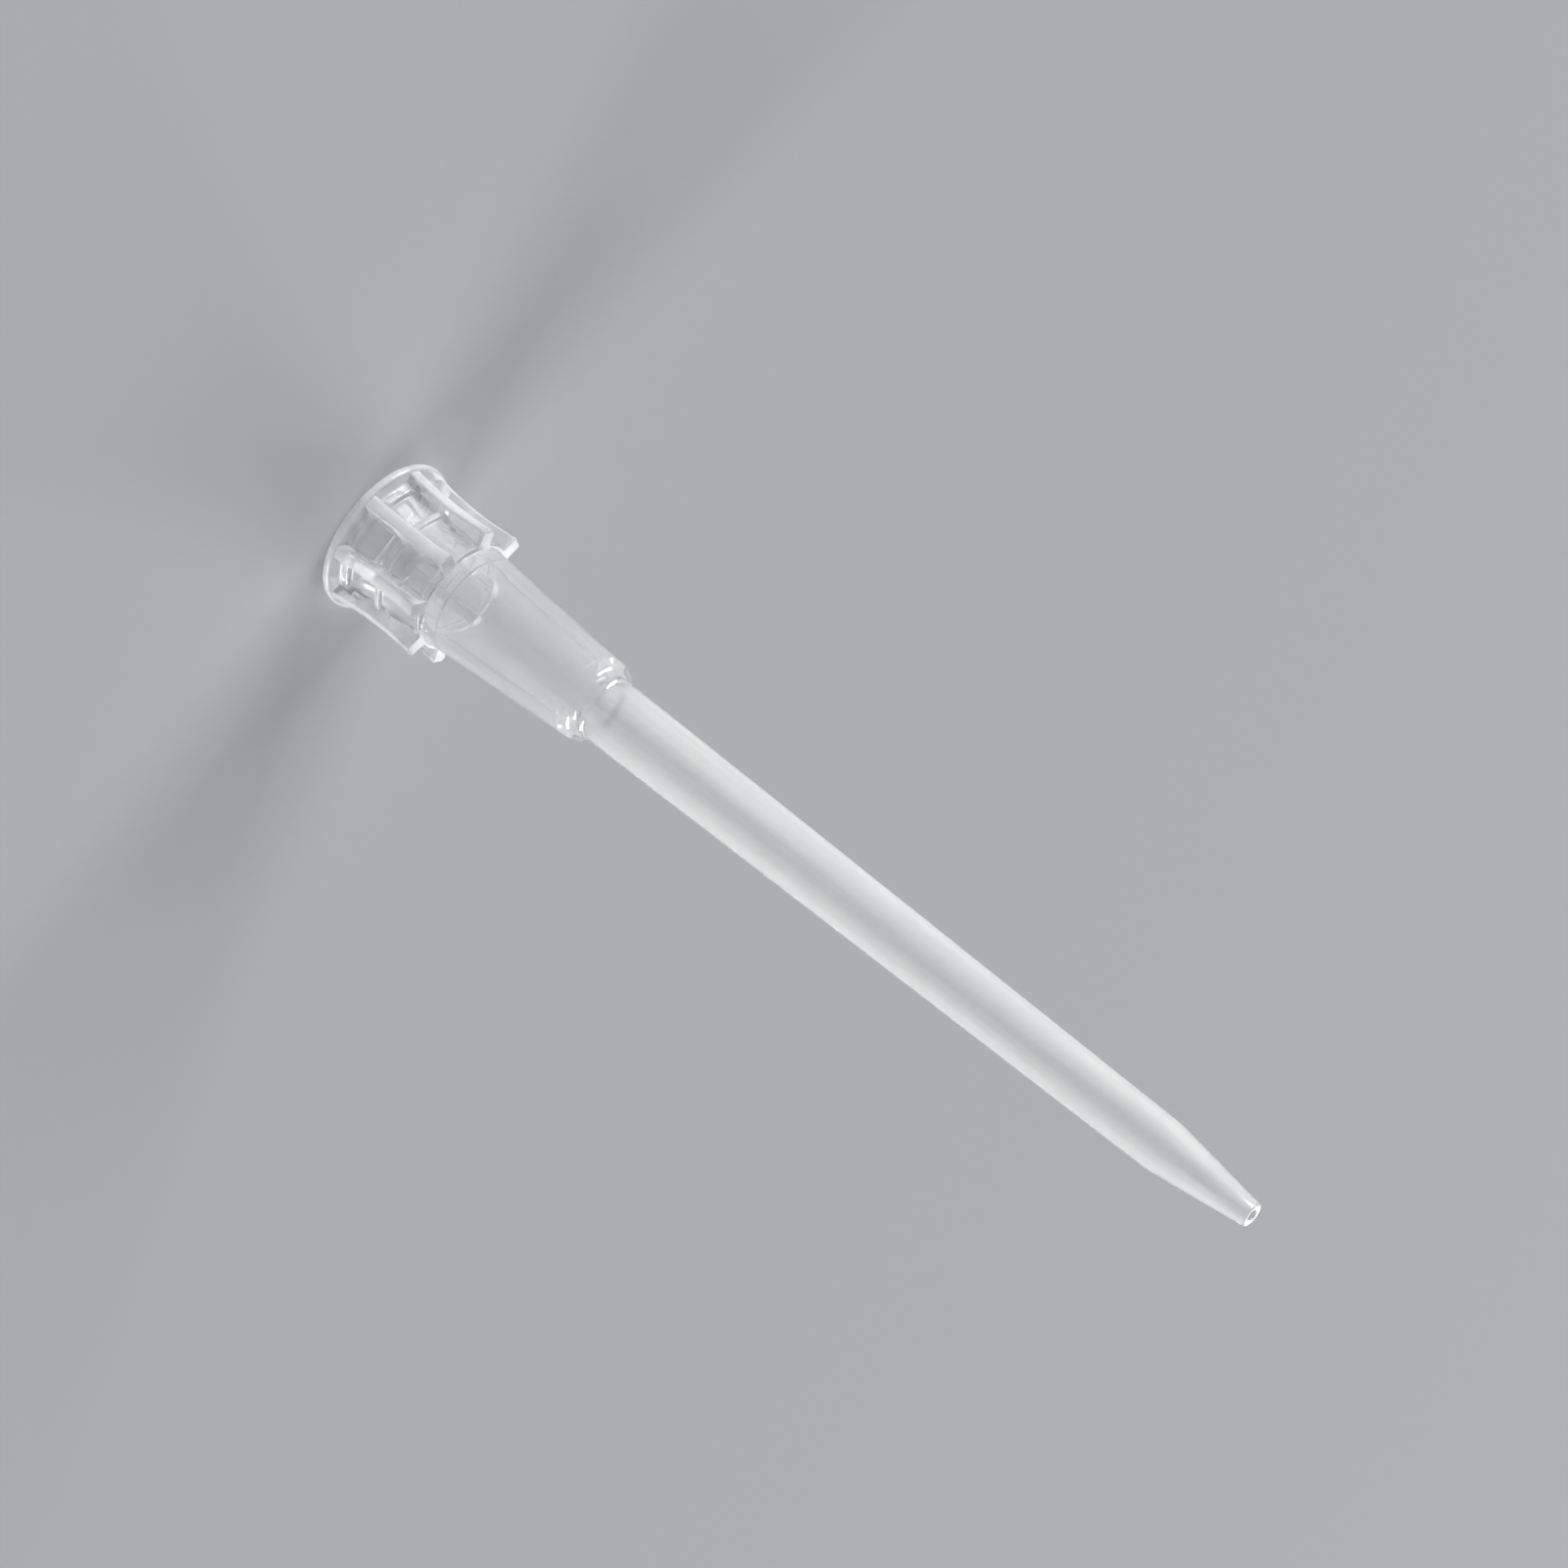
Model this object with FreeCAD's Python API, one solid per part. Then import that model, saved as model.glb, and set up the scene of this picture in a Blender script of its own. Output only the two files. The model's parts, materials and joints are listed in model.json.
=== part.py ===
"""Small-volume pipette tip, moulded in one piece from clear polypropylene.

Millimetres. The origin is the centre of the mouth rim and +Z runs along the axis to the
point, so the tip stands on its rim with the point up. Everything round is one half-section
turned about the axis: rim, neck, ribbed collar, hub, shaft and point outside, and the
socket, chamber and bore inside. The collar's ribs are a pattern added to that body.
"""
import FreeCAD, Part
import math
import os

# Socket that grips the pipette's nose cone
SOCKET_RADIUS = 1.28        # sealing land, round and parallel
LEAD_IN_LENGTH = 1.35       # mouth to the start of the sealing land
SOCKET_DEPTH = 3.55         # mouth to the seat at the end of the land
MOUTH_CLEARANCE = 0.32      # how much wider the mouth is than the land, on the radius
LIP_CHAMFER = 0.12

# Rim and neck round the mouth
RIM_RADIUS = 2.33
RIM_HEIGHT = 0.24
RIM_UNDERCUT = 0.07         # rise of the rim's underside towards the neck
NECK_WALL = 0.33
NECK_LENGTH = 0.60          # mouth to the end of the neck band

# Collar: the hub's cone carried up to the neck, with ribs and two hoops
COLLAR_LENGTH = 3.24        # mouth to the ends of the ribs
SOCKET_WALL = 0.31          # beyond the sealing land, at the ends of the ribs
HOOP_HEIGHT = 0.14
HOOP_WIDTH = 0.19
MIDDLE_HOOP = 1.56          # mouth to the near edge of the middle hoop

RIB_COUNT = 8
RIB_ROOT_WIDTH = 0.45
RIB_DRAFT = 0.04            # how much narrower a rib's outer edge is than its root
RIB_RIM_SETBACK = 0.06      # rib's edge inside the rim's edge, at the rim
RIB_WAIST_RADIUS = 2.125
RIB_WAIST_HEIGHT = 1.95     # mouth to the narrowest place of the ribs' edges
RIB_END_RADIUS = 2.21

# Hub, shaft and point
HUB_TAPER = 0.064           # radius lost along each millimetre
HUB_LENGTH = 5.33           # ends of the ribs to the step, at the hub's corner
HUB_WALL = 0.40
STEP_LENGTH = 0.23          # along the axis, between the step's two corners
SHAFT_RADIUS = 0.963
SHAFT_END_RADIUS = 0.739
SHAFT_LENGTH = 20.25
SHAFT_WALL = 0.28
POINT_LENGTH = 2.95
POINT_WALL = 0.21
ORIFICE_RADIUS = 0.14
ORIFICE_LENGTH = 0.35
CHAMBER_SETBACK = 0.60      # end of the hub's chamber before the step outside
CHAMBER_FLOOR = 0.35        # along the axis, from the chamber's end to the shaft's bore

# Corner radii, and the chamfer on the ribs
POINT_ROUND = 0.05
RIM_ROUND = 0.09
NECK_ROUND = 0.10
STEP_ROUND = 0.34
CHAMBER_ROUND = 0.15
RIB_CHAMFER = 0.05

collar_end = COLLAR_LENGTH
step_start = collar_end + HUB_LENGTH
step_end = step_start + STEP_LENGTH
point_start = step_end + SHAFT_LENGTH
tip_length = point_start + POINT_LENGTH
chamber_end = step_start - CHAMBER_SETBACK

mouth_radius = SOCKET_RADIUS + MOUTH_CLEARANCE
neck_radius = mouth_radius + NECK_WALL
point_radius = ORIFICE_RADIUS + POINT_WALL


def hub_radius(height):
    """Outside of the hub's cone, which also runs up under the ribs."""
    return SOCKET_RADIUS + SOCKET_WALL + HUB_TAPER * (collar_end - height)


def hoop(start):
    """Corners of one hoop that stands on the cone, from its near edge on."""
    end = start + HOOP_WIDTH
    return [
        (hub_radius(start), start, 0),
        (hub_radius(start) + HOOP_HEIGHT, start, 0),
        (hub_radius(end) + HOOP_HEIGHT, end, 0),
        (hub_radius(end), end, 0),
    ]


def outside():
    """Corners of the outside from the rim's flat face to the point."""
    neck_foot = RIM_HEIGHT + RIM_UNDERCUT
    corners = [
        (RIM_RADIUS, 0.0, RIM_ROUND),
        (RIM_RADIUS, RIM_HEIGHT, RIM_ROUND),
        (neck_radius, neck_foot, NECK_ROUND),
        (neck_radius, NECK_LENGTH, 0),
        (hub_radius(NECK_LENGTH), NECK_LENGTH, 0),
    ]
    corners += hoop(MIDDLE_HOOP)
    corners += hoop(collar_end - HOOP_WIDTH)
    corners += [
        (hub_radius(step_start), step_start, STEP_ROUND),
        (SHAFT_RADIUS, step_end, STEP_ROUND),
        (SHAFT_END_RADIUS, point_start, 0),
        (point_radius, tip_length, POINT_ROUND),
    ]
    return corners


def inside():
    """Corners of the way through, from the orifice back to the mouth's lip."""
    return [
        (ORIFICE_RADIUS, tip_length, 0),
        (ORIFICE_RADIUS, tip_length - ORIFICE_LENGTH, 0),
        (SHAFT_END_RADIUS - SHAFT_WALL, point_start, 0),
        (SHAFT_RADIUS - SHAFT_WALL, chamber_end + CHAMBER_FLOOR, 0),
        (hub_radius(chamber_end) - HUB_WALL, chamber_end, CHAMBER_ROUND),
        (hub_radius(SOCKET_DEPTH) - HUB_WALL, SOCKET_DEPTH, 0),
        (SOCKET_RADIUS, SOCKET_DEPTH, 0),
        (SOCKET_RADIUS, LEAD_IN_LENGTH, 0),
        (mouth_radius, LIP_CHAMFER, 0),
        (mouth_radius + LIP_CHAMFER, 0.0, 0),
    ]


def corner_arc(before, corner, after, rounding):
    """Start, middle and end of the arc that rounds a corner, kept inside its two runs."""
    back = before - corner
    onward = after - corner
    half_turn = (math.pi - back.getAngle(onward)) / 2
    room = 0.45 * min(back.Length, onward.Length)
    reach = min(rounding * math.tan(half_turn), room)
    arc_radius = reach / math.tan(half_turn)
    depth = arc_radius / math.cos(half_turn) - arc_radius
    back.normalize()
    onward.normalize()
    inward = (back + onward).normalize()
    return corner + back * reach, corner + inward * depth, corner + onward * reach


def rounded_section(corners):
    """Face in the XZ plane through (radius, height, rounding) corners, rounded by arcs."""
    points = [FreeCAD.Vector(radius, 0, height) for radius, height, rounding in corners]
    arcs = []
    for index, (radius, height, rounding) in enumerate(corners):
        before = points[index - 1]
        after = points[(index + 1) % len(points)]
        arcs.append(corner_arc(before, points[index], after, rounding))
    edges = []
    for index, (start, middle, end) in enumerate(arcs):
        last_end = arcs[index - 1][2]
        edges.append(Part.LineSegment(last_end, start).toShape())
        if corners[index][2] > 0:
            edges.append(Part.Arc(start, middle, end).toShape())
    return Part.Face(Part.Wire(edges))


def turned(face):
    """Solid made by turning a half-section once round the axis."""
    return face.revolve(FreeCAD.Vector(0, 0, 0), FreeCAD.Vector(0, 0, 1), 360)


def rib_envelope():
    """Round body that bounds the ribs: hollow-waisted outside, buried in the wall inside."""
    top = RIM_HEIGHT / 2
    root = SOCKET_WALL / 2
    rim_edge = FreeCAD.Vector(RIM_RADIUS - RIB_RIM_SETBACK, 0, top)
    waist = FreeCAD.Vector(RIB_WAIST_RADIUS, 0, RIB_WAIST_HEIGHT)
    end_edge = FreeCAD.Vector(RIB_END_RADIUS, 0, collar_end)
    end_root = FreeCAD.Vector(hub_radius(collar_end) - root, 0, collar_end)
    rim_root = FreeCAD.Vector(hub_radius(top) - root, 0, top)
    edges = [
        Part.Arc(rim_edge, waist, end_edge).toShape(),
        Part.LineSegment(end_edge, end_root).toShape(),
        Part.LineSegment(end_root, rim_root).toShape(),
        Part.LineSegment(rim_root, rim_edge).toShape(),
    ]
    return turned(Part.Face(Part.Wire(edges)))


def rib(angle):
    """One rib: a drafted blade cut to the envelope, with its two long outer edges eased."""
    reach = RIM_RADIUS + 1.0
    root_half = RIB_ROOT_WIDTH / 2
    narrowing = RIB_DRAFT / 2 / (RIM_RADIUS - hub_radius(0.0))
    inner_half = root_half + narrowing * hub_radius(0.0)
    outer_half = inner_half - narrowing * reach
    outline = [
        FreeCAD.Vector(0, -inner_half, 0),
        FreeCAD.Vector(reach, -outer_half, 0),
        FreeCAD.Vector(reach, outer_half, 0),
        FreeCAD.Vector(0, inner_half, 0),
        FreeCAD.Vector(0, -inner_half, 0),
    ]
    blade = Part.Face(Part.makePolygon(outline)).extrude(FreeCAD.Vector(0, 0, collar_end))
    solid = blade.common(rib_envelope())
    long_edges = [edge for edge in solid.Edges if is_long_outer_edge(edge)]
    solid = solid.makeChamfer(RIB_CHAMFER, long_edges)
    solid.rotate(FreeCAD.Vector(0, 0, 0), FreeCAD.Vector(0, 0, 1), angle)
    return solid


def is_long_outer_edge(edge):
    """True for the two edges that run the length of a rib, out at its free side."""
    centre = edge.CenterOfMass
    root_radius = hub_radius(RIB_WAIST_HEIGHT)
    beyond_root = math.hypot(centre.x, centre.y) > (RIB_WAIST_RADIUS + root_radius) / 2
    lengthwise = abs(edge.tangentAt(edge.FirstParameter).z) > 0.5
    return beyond_root and lengthwise


def tip_body():
    """The whole tip: the turned body with the ribs fused to its collar."""
    body = turned(rounded_section(outside() + inside()))
    ribs = [rib(360 * index / RIB_COUNT) for index in range(RIB_COUNT)]
    return body.fuse(ribs).removeSplitter()


os.makedirs("parts", exist_ok=True)
tip = tip_body()
tip.exportStep("parts/tip_body.step")
print("valid", tip.isValid(), "solids", len(tip.Solids), "volume", round(tip.Volume, 3))
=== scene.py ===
import json
from math import ceil, cos, hypot, pi, radians, sin, tan

import bmesh
import bpy
from mathutils import Matrix, Vector
from mathutils.bvhtree import BVHTree


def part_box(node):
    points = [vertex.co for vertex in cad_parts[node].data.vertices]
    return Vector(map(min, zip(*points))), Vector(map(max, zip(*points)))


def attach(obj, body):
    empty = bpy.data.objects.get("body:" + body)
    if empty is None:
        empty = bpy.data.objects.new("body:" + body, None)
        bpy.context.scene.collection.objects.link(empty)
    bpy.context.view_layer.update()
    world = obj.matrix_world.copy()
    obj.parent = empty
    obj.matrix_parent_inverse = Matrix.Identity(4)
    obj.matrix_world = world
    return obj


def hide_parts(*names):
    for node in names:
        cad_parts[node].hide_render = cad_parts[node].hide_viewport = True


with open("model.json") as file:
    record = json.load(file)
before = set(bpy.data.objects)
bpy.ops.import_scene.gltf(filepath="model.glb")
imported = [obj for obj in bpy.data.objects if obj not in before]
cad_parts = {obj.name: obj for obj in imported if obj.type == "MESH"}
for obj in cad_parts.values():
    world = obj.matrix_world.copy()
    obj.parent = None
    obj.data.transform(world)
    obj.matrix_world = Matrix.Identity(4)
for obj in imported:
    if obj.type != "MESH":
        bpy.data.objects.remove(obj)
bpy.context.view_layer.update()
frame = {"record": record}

# ---------------------------------------------------------------------------------------
# Tip body: the whole tip is one injection moulding in natural polypropylene. It is turned
# as one closed section, inside and outside, and its eight ribs are fused to the collar.
# It is shaped in millimetres, standing on its mouth, and brought to metres at the end.
# ---------------------------------------------------------------------------------------
mm = 0.001
mounts = {mount["name"]: mount for mount in frame["record"]["mounts"]}
tip_low, tip_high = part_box("tip_body")
tip_length = (tip_high.z - tip_low.z) / mm
rim_radius = (tip_high.x - tip_low.x) / 2 / mm
collar_end = mounts["rack_seat"]["pos_m"][2] / mm
socket_radius = mounts["nose_cone_socket"]["dims"]["r_mm"]
socket_span = mounts["nose_cone_socket"]["dims"]["length_mm"]
socket_middle = mounts["nose_cone_socket"]["pos_m"][2] / mm
socket_start = socket_middle - socket_span / 2
seat = socket_middle + socket_span / 2

# Sizes in millimetres: radii from the axis, and heights above the face of the rim.
rim_height = 0.24
rim_undercut = 0.07
mouth_radius = 1.60
lip_chamfer = 0.12
neck_radius = 1.93
neck_end = 0.60
hoop_height = 0.14
hoop_width = 0.19
hoop_rounding = 0.05
hoop_foot_rounding = 0.03
middle_hoop = 1.56
hub_taper = 0.064
hub_radius_at_collar_end = 1.59
hub_wall = 0.40
step_start = 8.57
step_end = 8.80
chamber_end = 7.97
chamber_floor = 0.35
shaft_radius = 0.963
shaft_end_radius = 0.739
shaft_wall = 0.28
point_start = 29.05
point_radius = 0.35
orifice_radius = 0.14
orifice_length = 0.35

sides = 288             # of every ring
longest_run = 1.0       # from one ring to the next, so that the haze can change along the tip
most_of_run = 0.45      # that one rounding may take, so that two of them never meet
close = 1e-3            # how near a point counts as standing at a place
weld_distance = 1e-4
crease_angle = radians(32)


def hub_radius(height):
    """Outside of the hub's cone, which also runs up under the ribs."""
    return hub_radius_at_collar_end + hub_taper * (collar_end - height)


def select_only(piece):
    """Makes a piece the only selected and active one."""
    bpy.ops.object.select_all(action="DESELECT")
    piece.select_set(True)
    bpy.context.view_layer.objects.active = piece


def next_ring(ring, radius, height):
    """Extrudes the selected ring to its next radius and height, a long way in even runs."""
    start_radius, start_height = ring
    runs = ceil(hypot(radius - start_radius, height - start_height) / longest_run)
    rise = (height - start_height) / runs
    for run in range(runs):
        before = start_radius + (radius - start_radius) * run / runs
        after = start_radius + (radius - start_radius) * (run + 1) / runs
        bpy.ops.mesh.extrude_region_move(TRANSFORM_OT_translate={"value": (0, 0, rise)})
        spread = after / before
        bpy.ops.transform.resize(value=(spread, spread, 1), center_override=(0, 0, 0))
    return radius, height


def round_ring(piece, corner, before, after, rounding, steps):
    """Bevels the ring at one corner of the section to an arc of the given radius."""
    radius, height = corner
    shape = bmesh.from_edit_mesh(piece.data)
    for edge in shape.edges:
        edge.select_set(all(
            abs(v.co.xy.length - radius) < close and abs(v.co.z - height) < close
            for v in edge.verts))
    shape.select_flush_mode()
    back = Vector(before) - Vector(corner)
    onward = Vector(after) - Vector(corner)
    reach = rounding * tan((pi - back.angle(onward)) / 2)
    reach = min(reach, most_of_run * back.length, most_of_run * onward.length)
    bpy.ops.mesh.bevel(offset=reach, segments=steps, affect="EDGES", clamp_overlap=False)


def hoop(start):
    """Corners of one hoop standing on the cone, with its edges slightly rounded."""
    end = start + hoop_width
    return [
        (hub_radius(start), start, hoop_foot_rounding, 2),
        (hub_radius(start) + hoop_height, start, hoop_rounding, 4),
        (hub_radius(end) + hoop_height, end, hoop_rounding, 4),
        (hub_radius(end), end, hoop_foot_rounding, 2),
    ]


# The section's corners, up the outside and down the inside: (radius, height, radius of the
# rounding there, steps of that rounding).
section = [
    (rim_radius, 0.0, 0.09, 6),
    (rim_radius, rim_height, 0.09, 6),
    (neck_radius, rim_height + rim_undercut, 0.10, 4),
    (neck_radius, neck_end, 0.06, 4),
    (hub_radius(neck_end), neck_end, 0.05, 3),
]
section += hoop(middle_hoop)
section += hoop(collar_end - hoop_width)
section += [
    (hub_radius(step_start), step_start, 0.34, 8),
    (shaft_radius, step_end, 0.34, 8),
    (shaft_end_radius, point_start, 2.5, 5),
    (point_radius, tip_length, 0.05, 6),
    (orifice_radius, tip_length, 0.02, 2),
    (orifice_radius, tip_length - orifice_length, 0.15, 4),
    (shaft_end_radius - shaft_wall, point_start, 5.0, 7),
    (shaft_radius - shaft_wall, chamber_end + chamber_floor, 0.2, 5),
    (hub_radius(chamber_end) - hub_wall, chamber_end, 0.15, 6),
    (hub_radius(seat) - hub_wall, seat, 0.03, 2),
    (socket_radius, seat, 0.04, 3),
    (socket_radius, socket_start, 0.6, 4),
    (mouth_radius, lip_chamfer, 0.05, 3),
    (mouth_radius + lip_chamfer, 0.0, 0.04, 3),
]

bpy.ops.object.select_all(action="DESELECT")
bpy.ops.mesh.primitive_circle_add(vertices=sides, radius=section[0][0])
tip = bpy.context.active_object
tip.name = tip.data.name = "moulded_tip"
bpy.ops.object.mode_set(mode="EDIT")
bpy.ops.mesh.select_mode(type="EDGE")
bpy.ops.mesh.select_all(action="SELECT")
ring = section[0][:2]
for corner in section[1:] + section[:1]:
    ring = next_ring(ring, *corner[:2])
bpy.ops.mesh.select_all(action="SELECT")
bpy.ops.mesh.remove_doubles(threshold=weld_distance)
bpy.ops.mesh.normals_make_consistent(inside=False)
for index, (radius, height, rounding, steps) in enumerate(section):
    before = section[index - 1][:2]
    after = section[(index + 1) % len(section)][:2]
    round_ring(tip, (radius, height), before, after, rounding, steps)
bpy.ops.object.mode_set(mode="OBJECT")

# Ribs: eight blades with a hollow-waisted edge, drafted towards that edge so that they
# leave the mould, their long edges and ends rounded.
rib_count = 8
rib_root_width = 0.45
rib_draft = 0.04
rib_start = rim_height / 2
rib_root_depth = 0.155
rib_setback = 0.06
rib_rim_radius = rim_radius - rib_setback
rib_waist_radius = 2.125
rib_waist = 1.95
rib_end_radius = 2.21
rib_middle_radius = 1.925   # between a rib's root and its edge, all along it
rib_rounding = 0.08
rib_rounding_steps = 4
rib_steps = 24


def arc_edge(first, middle, last):
    """Centre and radius of the circle through three points of the section."""
    (ax, ay), (bx, by), (cx, cy) = first, middle, last
    twice = 2 * (ax * (by - cy) + bx * (cy - ay) + cx * (ay - by))
    a2, b2, c2 = ax * ax + ay * ay, bx * bx + by * by, cx * cx + cy * cy
    x = (a2 * (by - cy) + b2 * (cy - ay) + c2 * (ay - by)) / twice
    y = (a2 * (cx - bx) + b2 * (ax - cx) + c2 * (bx - ax)) / twice
    return x, y, hypot(ax - x, ay - y)


rib_arc = arc_edge(
    (rib_rim_radius, rib_start), (rib_waist_radius, rib_waist), (rib_end_radius, collar_end))


def rib_radius(height):
    """How far out a rib's edge stands at a height."""
    x, y, arc_radius = rib_arc
    return x - (arc_radius ** 2 - (height - y) ** 2) ** 0.5


def rib_root(height):
    """Where a rib starts, buried in the wall."""
    return hub_radius(height) - rib_root_depth


bpy.ops.object.select_all(action="DESELECT")
bpy.ops.mesh.primitive_plane_add(size=1)
rib = bpy.context.active_object
bpy.ops.object.mode_set(mode="EDIT")
shape = bmesh.from_edit_mesh(rib.data)
for vert in shape.verts:
    outer = vert.co.x > 0
    half = rib_root_width / 2 - (rib_draft / 2 if outer else 0)
    vert.co = (
        rib_radius(rib_start) if outer else rib_root(rib_start),
        half if vert.co.y > 0 else -half,
        rib_start)
bmesh.update_edit_mesh(rib.data)
bpy.ops.mesh.select_mode(type="FACE")
bpy.ops.mesh.select_all(action="SELECT")
rise = (collar_end - rib_start) / rib_steps
for step in range(rib_steps):
    bpy.ops.mesh.extrude_region_move(TRANSFORM_OT_translate={"value": (0, 0, rise)})
    shape = bmesh.from_edit_mesh(rib.data)
    for vert in shape.verts:
        if vert.select:
            outer = vert.co.x > rib_middle_radius
            vert.co.x = rib_radius(vert.co.z) if outer else rib_root(vert.co.z)
    bmesh.update_edit_mesh(rib.data)
bpy.ops.mesh.select_all(action="SELECT")
bpy.ops.mesh.normals_make_consistent(inside=False)
bpy.ops.mesh.select_mode(type="EDGE")
shape = bmesh.from_edit_mesh(rib.data)
for edge in shape.edges:
    one, two = edge.verts
    outer = all(v.co.x > rib_middle_radius for v in edge.verts)
    long_edge = abs(one.co.z - two.co.z) > rise / 2
    end_edge = all(v.co.z > collar_end - close for v in edge.verts)
    edge.select_set(outer and (long_edge or end_edge))
shape.select_flush_mode()
bpy.ops.mesh.bevel(
    offset=rib_rounding, segments=rib_rounding_steps, affect="EDGES", clamp_overlap=False)
bpy.ops.object.mode_set(mode="OBJECT")
ribs = [rib]
for index in range(1, rib_count):
    copy = rib.copy()
    copy.data = rib.data.copy()
    copy.rotation_euler.z = 2 * pi * index / rib_count
    bpy.context.collection.objects.link(copy)
    ribs.append(copy)
bpy.ops.object.select_all(action="DESELECT")
for each in ribs:
    each.select_set(True)
bpy.context.view_layer.objects.active = rib
bpy.ops.object.transform_apply(rotation=True)
bpy.ops.object.join()
select_only(tip)
fuse = tip.modifiers.new("ribs", "BOOLEAN")
fuse.operation = "UNION"
fuse.object = rib
fuse.solver = "EXACT"
bpy.ops.object.modifier_apply(modifier=fuse.name)
bpy.data.objects.remove(rib)
tip.scale = (mm, mm, mm)
bpy.ops.object.transform_apply(scale=True)
bpy.ops.object.shade_smooth_by_angle(angle=crease_angle)

# The plastic's crystals scatter a little light all through it, and here its skin does that:
# most on the thick ribs, hoops and rim, and more along the shaft, where the melt has flowed
# furthest, than on the hub. The inside skin is nearly clear, so that nothing whitens twice.
slope = 0.8             # sideways for each step inwards
slants = [Vector((x, y, 0)) for x, y in ((slope, 0), (-slope, 0), (0, slope), (0, -slope))]
start_depth = 0.002 * mm
thickest = 1.5 * mm     # the longest way that counts
thin_wall = 0.50
thick_wall = 0.70
milky_from = step_end + 0.8
hub_haze = 0.13
shaft_haze = 0.37
rib_haze = 0.46
step_haze = 0.22
socket_haze = 0.14
bore_haze = 0.08
inside_facing = -0.2    # how far a normal turns to the axis on the inside skin
thickness_rounds = 3
haze_rounds = 2


def way_through(skin, start, direction, longest):
    """How far it is through the plastic, up to a longest way that counts."""
    distance = skin.ray_cast(start, direction, longest)[3]
    return longest if distance is None else distance


def thickness_under(skin, vert):
    """Mean way inwards through the plastic, straight and at slants of twice that at most."""
    inward = -vert.normal
    turn = inward.to_track_quat("Z", "Y")
    start = vert.co + inward * start_depth
    straight = way_through(skin, start, inward, thickest)
    total = straight
    for slant in slants:
        direction = (inward + turn @ slant).normalized()
        total += way_through(skin, start, direction, 2 * straight)
    return total / (1 + len(slants)) / mm


def ramp(value, low, high, first, last):
    """Runs evenly from the first result to the last one between two values."""
    return first + (last - first) * min(max((value - low) / (high - low), 0), 1)


def haze_at(vert, thickness):
    """Share of the light that the skin scatters at one point."""
    height = vert.co.z / mm
    mouth_haze = ramp(height, rim_height, neck_end, rib_haze, hub_haze)
    thin_haze = max(mouth_haze, ramp(height, chamber_end, milky_from, hub_haze, shaft_haze))
    thick_haze = ramp(height, collar_end, chamber_end, rib_haze, step_haze)
    haze = ramp(thickness, thin_wall, thick_wall, thin_haze, thick_haze)
    inside_haze = ramp(height, seat, chamber_end, socket_haze, bore_haze)
    faces_axis = vert.normal.xy.dot(vert.co.xy.normalized()) < inside_facing
    return min(haze, inside_haze) if faces_axis else haze


def evened(values, verts, rounds):
    """Evens values out between each point and the ones beside it."""
    for each in range(rounds):
        sums = [values[vert.index] for vert in verts]
        for vert in verts:
            for edge in vert.link_edges:
                sums[vert.index] += values[edge.other_vert(vert).index]
        values = [total / (1 + len(vert.link_edges)) for total, vert in zip(sums, verts)]
    return values


shape = bmesh.new()
shape.from_mesh(tip.data)
skin = BVHTree.FromBMesh(shape)
thickness = [thickness_under(skin, vert) for vert in shape.verts]
thickness = evened(thickness, shape.verts, thickness_rounds)
haze = [haze_at(vert, thickness[vert.index]) for vert in shape.verts]
haze = evened(haze, shape.verts, haze_rounds)
shape.free()
tip.data.attributes.new("haze", "FLOAT", "POINT")
tip.data.attributes["haze"].data.foreach_set("value", haze)


# Natural polypropylene, injection moulded against polished steel. It is glossy and clear with
# a milky share, which is the haze, and has faint streaks and lines along the tip.
def linear(hex_colour):
    """Turns an sRGB hex colour to the linear one that shaders take."""
    channels = [(hex_colour >> shift & 255) / 255 for shift in (16, 8, 0)]
    return [c / 12.92 if c <= 0.04045 else ((c + 0.055) / 1.055) ** 2.4 for c in channels] + [1]


def node(tree, kind, settings, links):
    """Adds a node to a material: its settings, then its inputs, linked or set."""
    made = tree.nodes.new(kind)
    for name, value in settings.items():
        setattr(made, name, value)
    for name, value in links.items():
        if isinstance(value, bpy.types.NodeSocket):
            tree.links.new(value, made.inputs[name])
        else:
            made.inputs[name].default_value = value
    return made


flow_width = 0.45 * mm      # of the cloudy streaks that follow the flow of the melt
flow_stretch = 0.04
flow_clouding = 0.05
polish_width = 0.06 * mm    # of the faint lines left where the steel was polished lengthwise
polish_stretch = 0.01
polish_depth = 0.0003 * mm
noise_low = 0.3             # most of a noise pattern lies between these two
noise_high = 0.7
smoothest = 0.04            # roughness of a moulding off polished steel
roughest = 0.07
plastic = bpy.data.materials.new("natural_polypropylene_moulded")
plastic.use_nodes = True
tree = plastic.node_tree
shader = tree.nodes["Principled BSDF"]
shader.inputs["IOR"].default_value = 1.49

place = node(tree, "ShaderNodeTexCoord", {}, {}).outputs["Object"]
along_flow = node(tree, "ShaderNodeMapping", {}, {"Vector": place, "Scale": (1, 1, flow_stretch)})
flow = node(tree, "ShaderNodeTexNoise", {}, {
    "Vector": along_flow.outputs["Vector"], "Scale": 1 / flow_width, "Detail": 2.0})
along_polish = node(tree, "ShaderNodeMapping", {}, {
    "Vector": place, "Scale": (1, 1, polish_stretch)})
polish = node(tree, "ShaderNodeTexNoise", {}, {
    "Vector": along_polish.outputs["Vector"], "Scale": 1 / polish_width, "Detail": 1.0})

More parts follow.
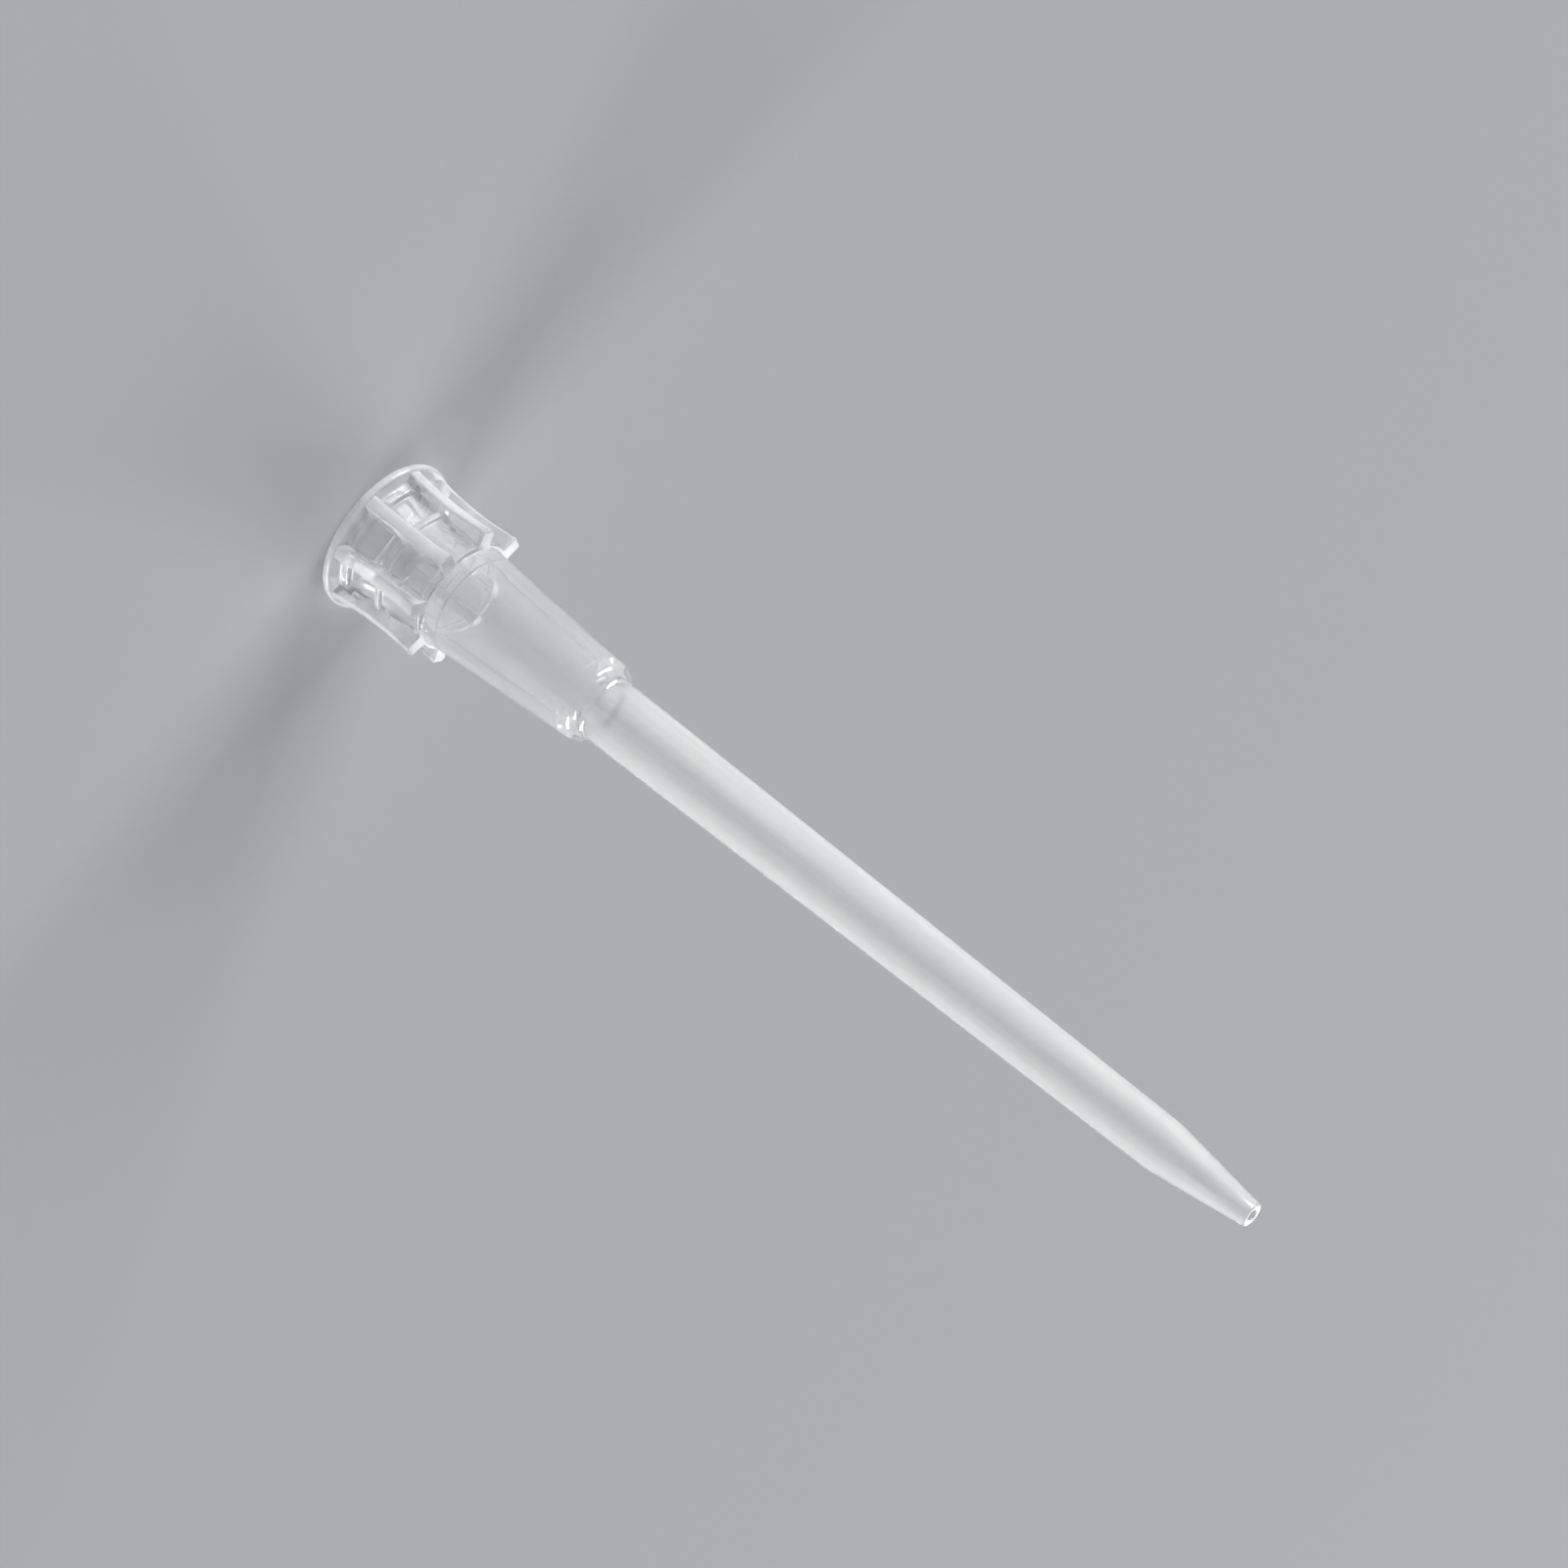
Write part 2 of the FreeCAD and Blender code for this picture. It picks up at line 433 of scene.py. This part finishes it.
scattered = node(tree, "ShaderNodeAttribute", {"attribute_name": "haze"}, {})
clearness = node(tree, "ShaderNodeMath", {"operation": "SUBTRACT"}, {
    0: 1.0, 1: scattered.outputs["Fac"]})
clouded = node(tree, "ShaderNodeMapRange", {}, {
    "Value": flow.outputs["Fac"], "From Min": noise_low, "From Max": noise_high,
    "To Min": -flow_clouding, "To Max": flow_clouding})
transmission = node(tree, "ShaderNodeMath", {"operation": "ADD"}, {
    0: clearness.outputs["Value"], 1: clouded.outputs["Result"]})
roughness = node(tree, "ShaderNodeMapRange", {}, {
    "Value": polish.outputs["Fac"], "From Min": noise_low, "From Max": noise_high,
    "To Min": smoothest, "To Max": roughest})
tint = node(tree, "ShaderNodeMix", {"data_type": "RGBA"}, {
    0: flow.outputs["Fac"], 6: linear(0xF9FAFA), 7: linear(0xFDFDFD)})
lines = node(tree, "ShaderNodeBump", {}, {
    "Height": polish.outputs["Fac"], "Strength": 1.0, "Distance": polish_depth})
tree.links.new(tint.outputs[2], shader.inputs["Base Color"])
tree.links.new(transmission.outputs["Value"], shader.inputs["Transmission Weight"])
tree.links.new(roughness.outputs["Result"], shader.inputs["Roughness"])
tree.links.new(lines.outputs["Normal"], shader.inputs["Normal"])
tip.data.materials.append(plastic)

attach(tip, "root")
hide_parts("tip_body")

# ---------------------------------------------------------------------------------------
# Floor and light: a plain pale floor in an even room. A low wide soft box whitens one side of
# the tip, a second one across from it picks out the edges of the other side, and a small high
# one behind is mirrored by the flat ends.
# ---------------------------------------------------------------------------------------
floor_size = 1.0
bpy.ops.object.select_all(action="DESELECT")
bpy.ops.mesh.primitive_plane_add(size=floor_size)
floor = bpy.context.active_object
floor.name = "floor"
paper = bpy.data.materials.new("matt_grey_paper")
paper.use_nodes = True
paper_inputs = paper.node_tree.nodes["Principled BSDF"].inputs
paper_inputs["Base Color"].default_value = linear(0xD0D1D3)
paper_inputs["Roughness"].default_value = 1.0
paper_inputs["Specular IOR Level"].default_value = 0.1
floor.data.materials.append(paper)

# The room lights the tip only weakly, and is seen as a paler backdrop, also in the plastic.
room_light = 0.20
backdrop_light = 0.65
world = bpy.data.worlds.new("room")
bpy.context.scene.world = world
world.use_nodes = True
tree = world.node_tree
room = tree.nodes["Background"]
room.inputs["Color"].default_value = linear(0xE6E8EA)
seen = node(tree, "ShaderNodeLightPath", {}, {})
looked_at = node(tree, "ShaderNodeMath", {"operation": "MAXIMUM"}, {
    0: seen.outputs["Is Camera Ray"], 1: seen.outputs["Is Transmission Ray"]})
looked_at = node(tree, "ShaderNodeMath", {"operation": "MAXIMUM"}, {
    0: looked_at.outputs["Value"], 1: seen.outputs["Is Glossy Ray"]})
strength = node(tree, "ShaderNodeMapRange", {}, {
    "Value": looked_at.outputs["Value"], "To Min": room_light, "To Max": backdrop_light})
tree.links.new(strength.outputs["Result"], room.inputs["Strength"])

lamp_distance = 1.5


def soft_box(name, azimuth, elevation, width, height, power):
    """An area lamp turned to the middle of the tip."""
    bpy.ops.object.light_add(type="AREA")
    lamp = bpy.context.active_object
    lamp.name = name
    lamp.data.shape = "RECTANGLE"
    lamp.data.size = width
    lamp.data.size_y = height
    lamp.data.energy = power
    turn, tilt = radians(azimuth), radians(elevation)
    away = Vector((cos(turn) * cos(tilt), sin(turn) * cos(tilt), sin(tilt)))
    lamp.location = Vector((0, 0, tip_high.z / 2)) + away * lamp_distance
    lamp.rotation_euler = away.to_track_quat("Z", "Y").to_euler()
    lamp.visible_camera = False


soft_box("key_soft_box", azimuth=-62, elevation=9, width=1.2, height=0.45, power=32)
soft_box("edge_soft_box", azimuth=108, elevation=6, width=1.0, height=0.30, power=32)
soft_box("back_soft_box", azimuth=-166, elevation=26, width=0.75, height=0.75, power=6.5)

# ---------------------------------------------------------------------------------------
# Camera: it looks down on the tip from beside it and is rolled over, so that the tip
# lies across the view with its mouth up on the left and its point down on the right.
# ---------------------------------------------------------------------------------------
bpy.ops.object.camera_add()
camera = bpy.context.active_object
camera.name = "camera"
camera.data.sensor_width = 36
camera.data.lens = 123.75
camera.data.clip_start = 0.01
camera_place = Vector((127.82, 29.62, 73.556)) * mm
camera_aim = Vector((0.320, -1.318, 14.337)) * mm
camera_roll = radians(127.86)
camera.location = camera_place
turned = (camera_place - camera_aim).to_track_quat("Z", "Y").to_matrix()
camera.rotation_euler = (turned @ Matrix.Rotation(camera_roll, 3, "Z")).to_euler()
bpy.context.scene.camera = camera
bpy.context.scene.view_settings.view_transform = "Standard"
